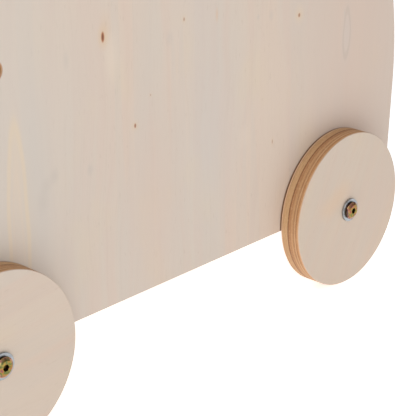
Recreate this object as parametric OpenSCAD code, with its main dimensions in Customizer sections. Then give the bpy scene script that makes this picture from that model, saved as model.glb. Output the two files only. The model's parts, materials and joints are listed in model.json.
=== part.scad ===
// Child's pull wagon in plywood: a box of five boards on four bolted plywood wheels,
// with a rigid pull handle that is hinged to the front and stows upright.
// The wagon points along -X, +Z is up, and the ground is z = 0. All sizes are in millimetres.

/* [Wheels] */
// Diameter of each plywood wheel
wheel_d = 122; // [114:1:124]
// Thickness of each wheel
wheel_t = 17; // [12:1:18]
// Distance between the front and rear axles
wheelbase = 345; // [330:1:360]

/* [Body] */
// Thickness of every board
board_t = 15; // [15:1:18]
// Width between the two side panels
inner_w = 250; // [200:5:300]
// Height of the sides' bottom edge below the axles
edge_drop = 5; // [2:0.5:6]
// Length of a side panel along its bottom edge
side_bottom_l = 488; // [476:1:492]
// Outward lean of the side panels' ends, in degrees
end_lean = 2.9; // [2:0.1:4]
// Height at which the straight leaning end turns into the bow
bow_start_z = 141; // [136:1:150]
// Radius of the bowed end
bow_r = 312; // [300:1:330]
// Height of the side panels' top edge
side_top_z = 317; // [310:1:324]
// Radius of the side panels' top corners
top_corner_r = 77; // [70:1:84]
// Height of the front and rear panels' top edge
end_top_z = 250; // [235:1:255]
// Distance from the wagon's middle to the outer face of the front and rear panels
end_face_x = 220; // [216:1:224]
// Height of the floor's underside
floor_z = 74; // [73:1:80]
// Diameter of the hole in the front top corner of each side
rope_hole_d = 14; // [8:1:16]
// Distance from the wagon's middle to that hole
rope_hole_x = 151; // [146:1:160]
// Height of that hole
rope_hole_z = 238; // [230:1:245]

/* [Handle] */
// Length from the hinge to the middle of the grip
handle_l = 470; // [400:10:520]
// Width of the drawbar
bar_w = 44; // [40:1:46]
// Height of the hinge above the ground
hinge_z = 118; // [114:1:124]
// Gap between the upright drawbar and the front panel
bar_gap = 6; // [4:1:10]
// Diameter of the grip
grip_d = 25; // [20:1:28]
// Length of the grip
grip_l = 140; // [120:5:180]

/* [Hardware] */
// Nominal bolt diameter
bolt_d = 6; // [5:1:8]
// Diameter of the bolts' flat bevelled heads
bolt_head_d = 13.6; // [12:0.2:17]
// Diameter of the large washers
washer_d = 18; // [16:1:20]
// Thickness of the spacer washer between wheel and side panel
spacer_t = 1; // [1:0.5:3]

/* [Hidden] */
$fn = 96;
eps = 0.01;

// Colours
veneer = [0.84, 0.77, 0.71];
beech = [0.82, 0.67, 0.50];
yellow_zinc = [0.72, 0.58, 0.28];
grey_zinc = [0.66, 0.68, 0.70];
zamak = [0.60, 0.60, 0.60];
nylon = [0.90, 0.90, 0.86];

// Clearances
slack = 0.2;       // play on each side of a part that turns
running = 0.06;    // radial play of a bore on its bolt
hole_play = 0.25;  // radial play of a bolt hole or washer
glue_play = 0.02;  // radial play of a glued dowel

// Wheels and the stack on each axle bolt, measured outwards from the wagon's middle
axle_z = wheel_d / 2;
side_in = inner_w / 2;
side_out = side_in + board_t;
wheel_in = side_out + spacer_t + slack;
wheel_out = wheel_in + wheel_t;
washer_t = 1.6;
head_seat = wheel_out + slack + washer_t;
axle_bolt_l = 45;

// Flat-headed bolt with a bevelled rim and a hexagon socket
bolt_r = bolt_d / 2;
head_r = bolt_head_d / 2;
head_rim_h = 1.4;
head_bevel = 2.2;
head_h = 3;
socket_af = 4;
socket_depth = 2.6;

// Lock nut with a nylon ring
nut_af = 1.5 * bolt_d + 1;
nut_h = bolt_d;
nut_hex_h = 0.75 * bolt_d;
nut_collar_r = nut_af / 2 - 0.6;
insert_r = nut_af / 2 - 1.1;
insert_h = 1.5;
insert_z = nut_h - insert_h - 0.3;

// Side panel outline. The top corners' arcs stand proud of the bow by the overlap, so that the two cross
arc_overlap = 0.02;
bottom_z = axle_z - edge_drop;
bottom_half = side_bottom_l / 2;
bow_start_x = bottom_half + tan(end_lean) * (bow_start_z - bottom_z);
bow_x = bow_start_x - bow_r * cos(end_lean);
bow_z = bow_start_z + bow_r * sin(end_lean);
corner_z = side_top_z - top_corner_r;
corner_x = bow_x + sqrt(pow(bow_r - top_corner_r + arc_overlap, 2) - pow(corner_z - bow_z, 2));
toe_r = 12;
toe_x = bottom_half + tan(end_lean) * toe_r - toe_r / cos(end_lean);
toe_side = [toe_x + toe_r * cos(end_lean), bottom_z + toe_r - toe_r * sin(end_lean)];
bow_end_z = corner_z + top_corner_r * (corner_z - bow_z) / (bow_r - top_corner_r);
ear_r = 15;
ear_fillet_r = 10;
fillet_z = bottom_z - ear_fillet_r;
fillet_x = sqrt(pow(ear_r + ear_fillet_r, 2) - pow(axle_z - fillet_z, 2));
touch_share = ear_r / (ear_r + ear_fillet_r);
touch_x = touch_share * fillet_x;
touch_drop = edge_drop - touch_share * (axle_z - fillet_z);

// Boards between the sides
floor_mid_z = floor_z + board_t / 2;
end_bottom_z = bottom_z + 2;
end_in_x = end_face_x - board_t;
end_mid_x = end_face_x - board_t / 2;

// Cam fittings and dowels
cam_r = 7.4;
cam_h = 12.3;
cam_from_edge = 24;
pin_bore_r = 4;
pin_root_r = 2.5;
pin_root_l = 11;
dowel_r = 4;
dowel_l = 30;
dowel_in_face = 11.5;
end_cam_z = [112, 226];
end_dowel_z = [66, 169];
floor_cam_x = [-115, 115];
floor_dowel_x = [-40, 40];
floor_end_dowel_y = [-80, 80];

// Hinge of the drawbar
bar_t = board_t;
hinge_x = -(end_face_x + bar_gap + bar_w / 2);
lug_in = bar_t / 2 + 2 * slack + washer_t;
lug_out = lug_in + board_t;
lug_screw_z = [hinge_z - 14, hinge_z + 14];
hitch_bolt_l = 65;
rest_play = 0.3;
rest_corner = [-end_face_x - hinge_x, end_top_z - hinge_z];
bar_lean = atan2(rest_corner[0], rest_corner[1]) - asin((bar_w / 2 + rest_play) / norm(rest_corner));
grip_r = grip_d / 2;

// Wood screws
screw_r = 2;
screw_head_r = 4;
screw_head_h = 2.2;
lug_screw_l = 40;
grip_screw_l = 30;
grip_screw_sink = 0.6;

// The origin is under the middle of the bounding box, so the hinge in front shifts the wagon back
rear_x = bow_x + bow_r;
front_x = hinge_x - bar_w / 2;
centre_shift = -(rear_x + front_x) / 2;

// ---------- placing ----------

// Local +Z points outwards along one axle, from the wagon's middle; side is -1 for left, 1 for right
module on_axle(end, side) {
    translate([end * wheelbase / 2, 0, axle_z]) rotate([-90 * side, 0, 0]) children();
}

module on_every_axle() {
    for (end = [-1, 1], side = [-1, 1]) on_axle(end, side) children();
}

// Extrudes an outline drawn in X and Z into a board whose far face is at y_far
module upright_board(y_far, thickness) {
    translate([0, y_far, 0]) rotate([90, 0, 0]) linear_extrude(height = thickness) children();
}

// Local +Z runs from a side panel's inner face into the board between the sides
module from_side(x, z, side) {
    translate([x, side * side_in, z]) rotate([90 * side, 0, 0]) children();
}

module at_end_fittings(heights) {
    for (end = [-1, 1], side = [-1, 1], z = heights) from_side(end * end_mid_x, z, side) children();
}

module at_floor_fittings(places) {
    for (side = [-1, 1], x = places) from_side(x, floor_mid_z, side) children();
}

// Local +Z runs from an end panel's inner face into the floor
module at_floor_end_dowels() {
    for (end = [-1, 1], y = floor_end_dowel_y)
        translate([end * end_in_x, y, floor_mid_z]) rotate([0, -90 * end, 0]) children();
}

// Local origin on the hinge, with the drawbar's length along +Z in its stowed lean
module on_drawbar() {
    translate([hinge_x, 0, hinge_z]) rotate([0, bar_lean, 0]) children();
}

// Local +Z along the hinge pin, towards the bolt's head on the left
module on_hinge_pin() {
    translate([hinge_x, 0, hinge_z]) rotate([90, 0, 0]) children();
}

module at_lug_screws() {
    for (side = [-1, 1], z = lug_screw_z)
        translate([-end_in_x, side * (lug_in + lug_out) / 2, z]) rotate([0, 90, 0]) children();
}

// ---------- hardware ----------

module washer(thickness) {
    difference() {
        cylinder(d = washer_d, h = thickness);
        translate([0, 0, -eps]) cylinder(r = bolt_r + hole_play, h = thickness + 2 * eps);
    }
}

// Underside of the head at z = 0, shank downwards
module flat_bolt(length) {
    point = 1;
    difference() {
        union() {
            cylinder(r = head_r, h = head_rim_h);
            translate([0, 0, head_rim_h])
                cylinder(r1 = head_r, r2 = head_r - head_bevel, h = head_h - head_rim_h);
            translate([0, 0, -length + point]) cylinder(r = bolt_r, h = length);
            translate([0, 0, -length]) cylinder(r1 = bolt_r - point, r2 = bolt_r, h = point);
        }
        translate([0, 0, head_h - socket_depth])
            cylinder(d = socket_af / cos(30), h = socket_depth + 1, $fn = 6);
    }
}

// Seat at z = 0, nylon end upwards
module lock_nut() {
    flat_r = nut_af / 2;
    cone_h = 7;
    cone_growth = 9;
    difference() {
        union() {
            intersection() {
                cylinder(r = flat_r / cos(30), h = nut_hex_h, $fn = 6);
                cylinder(r1 = flat_r, r2 = flat_r + cone_growth, h = cone_h);
                translate([0, 0, nut_hex_h - cone_h])
                    cylinder(r1 = flat_r + cone_growth, r2 = flat_r, h = cone_h);
            }
            cylinder(r = nut_collar_r, h = nut_h);
        }
        translate([0, 0, -eps]) cylinder(r = bolt_r, h = nut_h + 1);
        translate([0, 0, insert_z]) cylinder(r = insert_r, h = insert_h);
    }
}

module nut_insert() {
    translate([0, 0, insert_z]) difference() {
        cylinder(r = insert_r, h = insert_h);
        translate([0, 0, -eps]) cylinder(r = bolt_r, h = insert_h + 2 * eps);
    }
}

// Cross cut into a face at z = 0
module cross_recess(span, slot_w, depth) {
    for (turn = [0, 90])
        rotate([0, 0, turn]) translate([-span / 2, -slot_w / 2, -depth]) cube([span, slot_w, depth + 1]);
}

// Head flush at z = 0, point at z = -length
module wood_screw(length) {
    tip_h = 5;
    tip_r = 0.2;
    difference() {
        union() {
            translate([0, 0, -screw_head_h]) cylinder(r1 = screw_r, r2 = screw_head_r, h = screw_head_h);
            translate([0, 0, -length + tip_h]) cylinder(r = screw_r, h = length - tip_h - screw_head_h / 2);
            translate([0, 0, -length]) cylinder(r1 = tip_r, r2 = screw_r, h = tip_h);
        }
        cross_recess(4, 0.9, 1.4);
    }
}

module screw_hole(length) {
    translate([0, 0, -length]) cylinder(r = screw_r, h = length + eps);
    translate([0, 0, -screw_head_h]) cylinder(r1 = screw_r, r2 = screw_head_r, h = screw_head_h);
    cylinder(r = screw_head_r, h = 1);
}

// Face at z = 0, body downwards, open towards -Y where the pin comes in
module cam_lock() {
    mouth = 6.6;
    difference() {
        translate([0, 0, -cam_h]) cylinder(r = cam_r, h = cam_h);
        cross_recess(8, 1.4, 2);
        translate([-mouth / 2, -cam_r - 1, -board_t / 2 - mouth / 2]) cube([mouth, cam_r + 4, mouth]);
    }
}

// Root screwed into the side panel, then shank, neck and the head that the cam grips
module cam_pin() {
    shank_r = 3;
    neck_r = 1.6;
    neck_z = 17.5;
    head_z = 22;
    head_h = 3;
    translate([0, 0, -pin_root_l]) cylinder(r = pin_root_r, h = pin_root_l);
    cylinder(r = shank_r, h = neck_z);
    translate([0, 0, neck_z]) cylinder(r = neck_r, h = head_z - neck_z);
    translate([0, 0, head_z]) cylinder(r = pin_root_r, h = head_h);
}

module dowel() {
    chamfer = 1;
    translate([0, 0, -dowel_in_face]) {
        cylinder(r1 = dowel_r - chamfer, r2 = dowel_r, h = chamfer);
        translate([0, 0, chamfer]) cylinder(r = dowel_r, h = dowel_l - 2 * chamfer);
        translate([0, 0, dowel_l - chamfer]) cylinder(r1 = dowel_r, r2 = dowel_r - chamfer, h = chamfer);
    }
}

module dowel_hole() {
    depth_play = 0.5;
    translate([0, 0, -dowel_in_face - depth_play])
        cylinder(r = dowel_r + glue_play, h = dowel_l + 2 * depth_play);
}

// Root hole in the side panel and bore in the board's edge, both on the pin's line
module pin_hole() {
    translate([0, 0, -pin_root_l - 0.5]) cylinder(r = pin_root_r, h = pin_root_l + 1);
    cylinder(r = pin_bore_r, h = cam_from_edge);
}

// The end panels' cams open on their inner faces, the floor's on its underside
module at_end_cams() {
    for (end = [-1, 1], side = [-1, 1], z = end_cam_z)
        translate([end * end_in_x, side * (side_in - cam_from_edge), z])
            rotate([0, -90 * end, 0]) rotate([0, 0, side > 0 ? 180 : 0]) children();
}

module at_floor_cams() {
    for (side = [-1, 1], x = floor_cam_x)
        translate([x, side * (side_in - cam_from_edge), floor_z])
            rotate([180, 0, 0]) rotate([0, 0, side > 0 ? 0 : 180]) children();
}

module cam_bore() {
    translate([0, 0, -cam_h - 0.2]) cylinder(r = cam_r + glue_play, h = cam_h + 1.2);
}

// ---------- boards ----------

// Straight-edged core of the side panel, with a tapered ear under each axle
module side_core() {
    ear = [[-fillet_x, 0], [-touch_x, touch_drop], [touch_x, touch_drop], [fillet_x, 0]];
    polygon([
        [-toe_side[0], toe_side[1]], [-toe_x, bottom_z],
        for (end = [-1, 1], point = ear) [end * wheelbase / 2 + point[0], bottom_z + point[1]],
        [toe_x, bottom_z], toe_side, [bow_start_x, bow_start_z], [corner_x, bow_start_z],
        [corner_x, side_top_z], [-corner_x, side_top_z],
        [-corner_x, bow_start_z], [-bow_start_x, bow_start_z]
    ]);
}

// The bow's arcs run up to the top corners' arcs, which go on without a visible kink
module side_curves() {
    intersection() {
        translate([-rear_x, bow_start_z]) square([2 * rear_x, bow_end_z - bow_start_z]);
        translate([bow_x, bow_z]) circle(r = bow_r);
        translate([-bow_x, bow_z]) circle(r = bow_r);
    }
    for (end = [-1, 1]) {
        translate([end * corner_x, corner_z]) circle(r = top_corner_r);
        translate([end * toe_x, bottom_z + toe_r]) circle(r = toe_r);
    }
}

module side_outline() {
    difference() {
        union() {
            difference() {
                side_core();
                for (end = [-1, 1], side = [-1, 1])
                    translate([end * wheelbase / 2 + side * fillet_x, fillet_z]) circle(r = ear_fillet_r);
            }
            side_curves();
            for (end = [-1, 1]) translate([end * wheelbase / 2, axle_z]) circle(r = ear_r);
        }
        for (end = [-1, 1])
            translate([end * wheelbase / 2, axle_z]) circle(r = bolt_r + hole_play);
        translate([-rope_hole_x, rope_hole_z]) circle(d = rope_hole_d);
    }
}

module side_panel(y_far) {
    color(veneer) difference() {
        upright_board(y_far, board_t) side_outline();
        at_end_fittings(end_cam_z) pin_hole();
        at_end_fittings(end_dowel_z) dowel_hole();
        at_floor_fittings(floor_cam_x) pin_hole();
        at_floor_fittings(floor_dowel_x) dowel_hole();
    }
}

module end_board(x_low) {
    difference() {
        translate([x_low, -side_in, end_bottom_z])
            cube([board_t, inner_w, end_top_z - end_bottom_z]);
        at_end_fittings(end_cam_z) pin_hole();
        at_end_fittings(end_dowel_z) dowel_hole();
        at_end_cams() cam_bore();
        at_floor_end_dowels() dowel_hole();
    }
}

module front_panel() {
    color(veneer) difference() {
        end_board(-end_face_x);
        at_lug_screws() screw_hole(lug_screw_l);
    }
}

module rear_panel() {
    color(veneer) end_board(end_in_x);
}

module floor_panel() {
    color(veneer) difference() {
        translate([-end_in_x, -side_in, floor_z]) cube([2 * end_in_x, inner_w, board_t]);
        at_floor_fittings(floor_cam_x) pin_hole();
        at_floor_fittings(floor_dowel_x) dowel_hole();
        at_floor_cams() cam_bore();
        at_floor_end_dowels() dowel_hole();
    }
}

// ---------- wheels and axles ----------

module wheel(end, side) {
    color(veneer) on_axle(end, side) translate([0, 0, wheel_in]) difference() {
        cylinder(d = wheel_d, h = wheel_t, $fn = 180);
        translate([0, 0, -eps]) cylinder(r = bolt_r + running, h = wheel_t + 2 * eps);
    }
}

module axle_bolt(end, side) {
    color(yellow_zinc) on_axle(end, side) translate([0, 0, head_seat]) flat_bolt(axle_bolt_l);
}

module outer_washers() {
    color(grey_zinc) on_every_axle() translate([0, 0, wheel_out + slack]) washer(washer_t);
}

module spacer_washers() {
    color(grey_zinc) on_every_axle() translate([0, 0, side_out]) washer(spacer_t);
}

module inner_washers() {
    color(grey_zinc) on_every_axle() translate([0, 0, side_in - washer_t]) washer(washer_t);
}

module on_every_axle_nut() {
    on_every_axle() translate([0, 0, side_in - washer_t]) rotate([180, 0, 0]) children();
}

module axle_lock_nuts() {
    color(grey_zinc) on_every_axle_nut() lock_nut();
}

module axle_nut_inserts() {
    color(nylon) on_every_axle_nut() nut_insert();
}

// ---------- knock-down fittings ----------

module end_cam_locks() {
    color(zamak) at_end_cams() cam_lock();
}

module end_cam_pins() {
    color(grey_zinc) at_end_fittings(end_cam_z) cam_pin();
}

module floor_cam_locks() {
    color(zamak) at_floor_cams() cam_lock();
}

module floor_cam_pins() {
    color(grey_zinc) at_floor_fittings(floor_cam_x) cam_pin();
}

module end_panel_dowels() {
    color(beech) at_end_fittings(end_dowel_z) dowel();
}

module floor_dowels() {
    color(beech) {
        at_floor_fittings(floor_dowel_x) dowel();
        at_floor_end_dowels() dowel();
    }
}

// ---------- pull handle ----------

module lug_outline() {
    difference() {
        union() {
            translate([hinge_x, hinge_z - bar_w / 2]) square([-end_face_x - hinge_x, bar_w]);
            translate([hinge_x, hinge_z]) circle(d = bar_w);
        }
        translate([hinge_x, hinge_z]) circle(r = bolt_r + hole_play);
    }
}

module hitch_lug(y_far) {
    color(veneer) difference() {
        upright_board(y_far, board_t) lug_outline();
        at_lug_screws() screw_hole(lug_screw_l);
    }
}

module hitch_lug_screws() {
    color(yellow_zinc) at_lug_screws() wood_screw(lug_screw_l);
}

module hitch_bolt() {
    color(yellow_zinc) on_hinge_pin() translate([0, 0, lug_out + washer_t]) flat_bolt(hitch_bolt_l);
}

module hitch_outer_washers() {
    color(grey_zinc) on_hinge_pin() {
        translate([0, 0, lug_out]) washer(washer_t);
        translate([0, 0, -lug_out - washer_t]) washer(washer_t);
    }
}

module hitch_thrust_washers() {
    color(nylon) on_hinge_pin() {
        translate([0, 0, bar_t / 2 + slack]) washer(washer_t);
        translate([0, 0, -bar_t / 2 - slack - washer_t]) washer(washer_t);
    }
}

module on_hitch_nut() {
    on_hinge_pin() translate([0, 0, -lug_out - washer_t]) rotate([180, 0, 0]) children();
}

module hitch_lock_nut() {
    color(grey_zinc) on_hitch_nut() lock_nut();
}

module hitch_nut_insert() {
    color(nylon) on_hitch_nut() nut_insert();
}

module grip_screw_line() {
    on_drawbar() translate([0, 0, handle_l + bar_w / 2 - grip_screw_sink]) children();
}

module drawbar() {
    color(veneer) difference() {
        on_drawbar() translate([0, bar_t / 2, 0]) rotate([90, 0, 0]) linear_extrude(height = bar_t)
            difference() {
                union() {
                    circle(d = bar_w);
                    translate([-bar_w / 2, 0]) square([bar_w, handle_l]);
                    translate([0, handle_l]) circle(d = bar_w);
                }
                circle(r = bolt_r + running);
                translate([0, handle_l]) circle(r = grip_r + glue_play);
            }
        grip_screw_line() screw_hole(grip_screw_l);
    }
}

module grip_dowel() {
    chamfer = 3;
    color(beech) difference() {
        on_drawbar() translate([0, 0, handle_l]) rotate([90, 0, 0]) {
            translate([0, 0, -grip_l / 2 + chamfer]) cylinder(r = grip_r, h = grip_l - 2 * chamfer);
            for (way = [0, 180])
                rotate([way, 0, 0]) translate([0, 0, grip_l / 2 - chamfer])
                    cylinder(r1 = grip_r, r2 = grip_r - chamfer, h = chamfer);
        }
        grip_screw_line() screw_hole(grip_screw_l);
    }
}

module grip_screw() {
    color(yellow_zinc) grip_screw_line() wood_screw(grip_screw_l);
}

// ---------- nodes ----------

// Moves the wagon so that the origin is under the middle of its box
module placed() {
    translate([centre_shift, 0, 0]) children();
}

placed() side_panel(-side_in);  // side_panel_left
placed() side_panel(side_out);  // side_panel_right
placed() front_panel();
placed() rear_panel();
placed() floor_panel();
placed() wheel(-1, -1);  // wheel_front_left
placed() wheel(-1, 1);  // wheel_front_right
placed() wheel(1, -1);  // wheel_rear_left
placed() wheel(1, 1);  // wheel_rear_right
placed() axle_bolt(-1, -1);  // axle_bolt_front_left
placed() axle_bolt(-1, 1);  // axle_bolt_front_right
placed() axle_bolt(1, -1);  // axle_bolt_rear_left
placed() axle_bolt(1, 1);  // axle_bolt_rear_right
placed() outer_washers();
placed() spacer_washers();
placed() inner_washers();
placed() axle_lock_nuts();
placed() axle_nut_inserts();
placed() end_cam_locks();
placed() end_cam_pins();
placed() floor_cam_locks();
placed() floor_cam_pins();
placed() end_panel_dowels();
placed() floor_dowels();
placed() hitch_lug(-lug_in);  // hitch_lug_left
placed() hitch_lug(lug_out);  // hitch_lug_right
placed() hitch_lug_screws();
placed() hitch_bolt();
placed() hitch_outer_washers();
placed() hitch_thrust_washers();
placed() hitch_lock_nut();
placed() hitch_nut_insert();
placed() drawbar();
placed() grip_dowel();
placed() grip_screw();
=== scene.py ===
import json
import math

import bmesh
import bpy
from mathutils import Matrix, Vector


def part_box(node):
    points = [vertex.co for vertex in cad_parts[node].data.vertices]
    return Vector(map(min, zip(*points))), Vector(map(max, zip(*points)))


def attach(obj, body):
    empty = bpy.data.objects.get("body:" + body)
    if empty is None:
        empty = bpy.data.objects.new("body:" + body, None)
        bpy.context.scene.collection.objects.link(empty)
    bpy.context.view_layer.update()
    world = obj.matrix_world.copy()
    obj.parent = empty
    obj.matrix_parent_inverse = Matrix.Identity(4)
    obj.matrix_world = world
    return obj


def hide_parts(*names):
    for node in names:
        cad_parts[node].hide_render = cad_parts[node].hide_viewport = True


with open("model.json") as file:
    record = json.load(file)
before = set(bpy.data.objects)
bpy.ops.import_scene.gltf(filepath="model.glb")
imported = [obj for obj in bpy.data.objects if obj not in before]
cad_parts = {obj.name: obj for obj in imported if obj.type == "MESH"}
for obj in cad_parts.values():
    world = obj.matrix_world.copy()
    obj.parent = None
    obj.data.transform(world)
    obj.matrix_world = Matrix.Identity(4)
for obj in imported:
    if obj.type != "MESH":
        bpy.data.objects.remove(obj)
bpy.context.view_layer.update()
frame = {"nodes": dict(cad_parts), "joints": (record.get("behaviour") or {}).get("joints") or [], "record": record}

BODY_OF = {n: body for body, nodes in frame["record"]["behaviour"]["bodies"].items() for n in nodes}
SLOT_OF = {row["node"]: row["material_slot"] for row in frame["record"]["subparts"]}

X, Y, Z = Vector((1, 0, 0)), Vector((0, 1, 0)), Vector((0, 0, 1))
MM = 0.001

# ---------------------------------------------------------------- places, from the frame

ENDS, SIDES = {"front": -1, "rear": 1}, {"left": -1, "right": 1}


def middle(node):
    low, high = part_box(node)
    return (low + high) / 2


def spin_centre(joint_name):
    joint = next(j for j in frame["joints"] if j["name"] == joint_name)
    return Vector(joint["pos_m"])


SIDE_LOW, SIDE_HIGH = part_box("side_panel_right")
SIDE_IN, SIDE_OUT = SIDE_LOW.y, SIDE_HIGH.y
BOARD_T = SIDE_OUT - SIDE_IN
MID_X = middle("side_panel_left").x
AXLE_Z = middle("wheel_rear_left").z
AXLE_X = {end: middle(f"wheel_{end}_left").x for end in ENDS}
HINGE = spin_centre("handle_tilt")
GRIP = middle("grip_dowel")
BAR_AXIS = (GRIP - HINGE).normalized()

# ---------------------------------------------------------------- camera, light and floor


def make_camera():
    """A long lens that sees the rear of the left side panel with both of its wheels."""
    hub = Vector((AXLE_X["rear"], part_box("wheel_rear_left")[0].y, AXLE_Z))
    eye_from_hub = Vector((-0.8218, -0.6130, 0.4128))
    azimuth, elevation = math.radians(47.19), math.radians(21.99)
    look = Vector((
        math.sin(azimuth) * math.cos(elevation),
        math.cos(azimuth) * math.cos(elevation),
        -math.sin(elevation),
    ))
    data = bpy.data.cameras.new("camera")
    data.sensor_width, data.lens = 36, 123.2
    data.clip_start, data.clip_end = 0.05, 120
    camera = bpy.data.objects.new("camera", data)
    camera.location = hub + eye_from_hub
    camera.rotation_mode = "QUATERNION"
    camera.rotation_quaternion = look.to_track_quat("-Z", "Y")
    bpy.context.scene.collection.objects.link(camera)
    bpy.context.scene.camera = camera


def make_world():
    world = bpy.data.worlds.new("studio")
    bpy.context.scene.world = world
    world.use_nodes = True
    back = world.node_tree.nodes["Background"]
    back.inputs["Color"].default_value = (1.0, 1.0, 1.0, 1)
    back.inputs["Strength"].default_value = 0.26


def make_view():
    """Plain colours, with no film look."""
    bpy.context.scene.view_settings.view_transform = "Standard"


def softbox(name, position, aim, size, power):
    data = bpy.data.lights.new(name, "AREA")
    data.shape, data.size, data.energy = "SQUARE", size, power
    lamp = bpy.data.objects.new(name, data)
    lamp.location = position
    lamp.rotation_mode = "QUATERNION"
    lamp.rotation_quaternion = (Vector(aim) - Vector(position)).to_track_quat("-Z", "Y")
    bpy.context.scene.collection.objects.link(lamp)


def link_mesh(name, bm):
    data = bpy.data.meshes.new(name)
    bm.to_mesh(data)
    bm.free()
    thing = bpy.data.objects.new(name, data)
    bpy.context.scene.collection.objects.link(thing)
    return thing


def make_floor():
    bm = bmesh.new()
    half = 60
    corners = [(-half, -half, 0), (half, -half, 0), (half, half, 0), (-half, half, 0)]
    bm.faces.new([bm.verts.new(corner) for corner in corners])
    floor = link_mesh("floor", bm)
    floor.data.materials.append(floor_material())


# ---------------------------------------------------------------- node helpers


def srgb(r, g, b):
    """An 8-bit sRGB colour as linear RGBA."""
    line = [v / 255 for v in (r, g, b)]
    return tuple(v / 12.92 if v <= 0.04045 else ((v + 0.055) / 1.055) ** 2.4 for v in line) + (1.0,)


class Nodes:
    """Short calls for building one material's node tree."""

    def __init__(self, name):
        self.material = bpy.data.materials.new(name)
        self.material.use_nodes = True
        self.tree = self.material.node_tree
        self.shader = self.tree.nodes["Principled BSDF"]

    def add(self, kind, **settings):
        made = self.tree.nodes.new("ShaderNode" + kind)
        for key, value in settings.items():
            setattr(made, key, value)
        return made

    def put(self, value, socket):
        if isinstance(value, bpy.types.NodeSocket):
            self.tree.links.new(value, socket)
        else:
            socket.default_value = value

    def math(self, operation, *values, clamp=False):
        made = self.add("Math", operation=operation, use_clamp=clamp)
        for value, socket in zip(values, made.inputs):
            self.put(value, socket)
        return made.outputs[0]

    def times(self, first, second):
        return self.math("MULTIPLY", first, second)

    def split(self, vector):
        made = self.add("SeparateXYZ")
        self.put(vector, made.inputs[0])
        return made.outputs

    def attribute(self, name):
        return self.split(self.add("Attribute", attribute_name=name).outputs["Vector"])

    def vector(self, x, y, z):
        made = self.add("CombineXYZ")
        for value, socket in zip((x, y, z), made.inputs):
            self.put(value, socket)
        return made.outputs[0]

    def place(self, scale):
        """The point on the object, in metres, times a scale."""
        made = self.add("VectorMath", operation="MULTIPLY")
        self.put(self.add("TexCoord").outputs["Object"], made.inputs[0])
        made.inputs[1].default_value = scale if isinstance(scale, tuple) else (scale,) * 3
        return made.outputs[0]

    def noise(self, vector, detail=2.0, distortion=0.0):
        made = self.add("TexNoise")
        self.put(vector, made.inputs["Vector"])
        made.inputs["Scale"].default_value = 1.0
        made.inputs["Detail"].default_value = detail
        made.inputs["Distortion"].default_value = distortion
        return made.outputs["Fac"]

    def step(self, value, low, high):
        """0 below low, 1 above high, and smooth between them."""
        made = self.add("MapRange", interpolation_type="SMOOTHSTEP")
        for given, key in ((value, "Value"), (low, "From Min"), (high, "From Max")):
            self.put(given, made.inputs[key])
        return made.outputs[0]

    def mix(self, share, first, second):
        made = self.add("Mix", data_type="RGBA")
        self.put(share, made.inputs[0])
        self.put(first, made.inputs[6])
        self.put(second, made.inputs[7])
        return made.outputs[2]

    def ramp(self, value, stops):
        """A colour ramp through (position, colour) stops."""
        made = self.add("ValToRGB")
        ladder = made.color_ramp.elements
        while len(ladder) < len(stops):
            ladder.new(0.5)
        for rung, (position, colour) in zip(ladder, stops):
            rung.position, rung.color = position, colour
        self.put(value, made.inputs[0])
        return made.outputs[0]

    def bump(self, height, distance, strength):
        made = self.add("Bump")
        made.inputs["Strength"].default_value = strength
        made.inputs["Distance"].default_value = distance
        self.put(height, made.inputs["Height"])
        return made.outputs[0]

    def finish(self, **sockets):
        for key, value in sockets.items():
            self.put(value, self.shader.inputs[key.replace("_", " ")])
        return self.material


# ---------------------------------------------------------------- plywood

FACE_PLY = 1.25 * MM
COOL_BIRCH, WARM_BIRCH = (212, 199, 186), (217, 199, 183)
PINK_BIRCH, YELLOW_BIRCH = (215, 193, 179), (218, 201, 179)
GREY_BIRCH = (208, 196, 185)

# Each ply is (its end as a share of the thickness, its colour on the cut edge), from the outer face
BOARD_TONES = (
    (222, 187, 150), (186, 134, 86), (204, 160, 114), (179, 129, 84), (206, 168, 124),
    (168, 119, 78), (196, 151, 106), (186, 138, 94), (212, 175, 133),
)
BOARD_PLIES = [((i + 1) / len(BOARD_TONES), tone) for i, tone in enumerate(BOARD_TONES)]
WHEEL_PLIES = [
    (0.06, (226, 196, 162)), (0.15, (200, 150, 104)), (0.19, (174, 124, 84)), (0.27, (214, 175, 134)),
    (0.32, (184, 136, 96)), (0.45, (203, 160, 117)), (0.58, (182, 134, 95)), (0.63, (128, 84, 58)),
    (0.90, (204, 165, 123)), (0.95, (220, 186, 146)), (1.00, (190, 150, 112)),
]

# Knots of the plain boards, which share one material and lie at different shifts in it
PLAIN_KNOTS = [(1390, 1460, 1.5, 2.4, 0.8), (420, 1380, 1.2, 2.0, 0.7), (2450, 540, 1.4, 2.6, 0.8)]


def spot(n, u, v, place, edge):
    """1 in the middle of an ellipse (across, along, half width, half length), 0 past its soft rim."""
    across, along, half_u, half_v = (size * MM for size in place)
    du = n.math("DIVIDE", n.math("SUBTRACT", u, across), half_u)
    dv = n.math("DIVIDE", n.math("SUBTRACT", v, along), half_v)
    radius = n.math("SQRT", n.math("ADD", n.times(du, du), n.times(dv, dv)))
    return n.step(radius, 1 + edge, 1 - edge)


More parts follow.
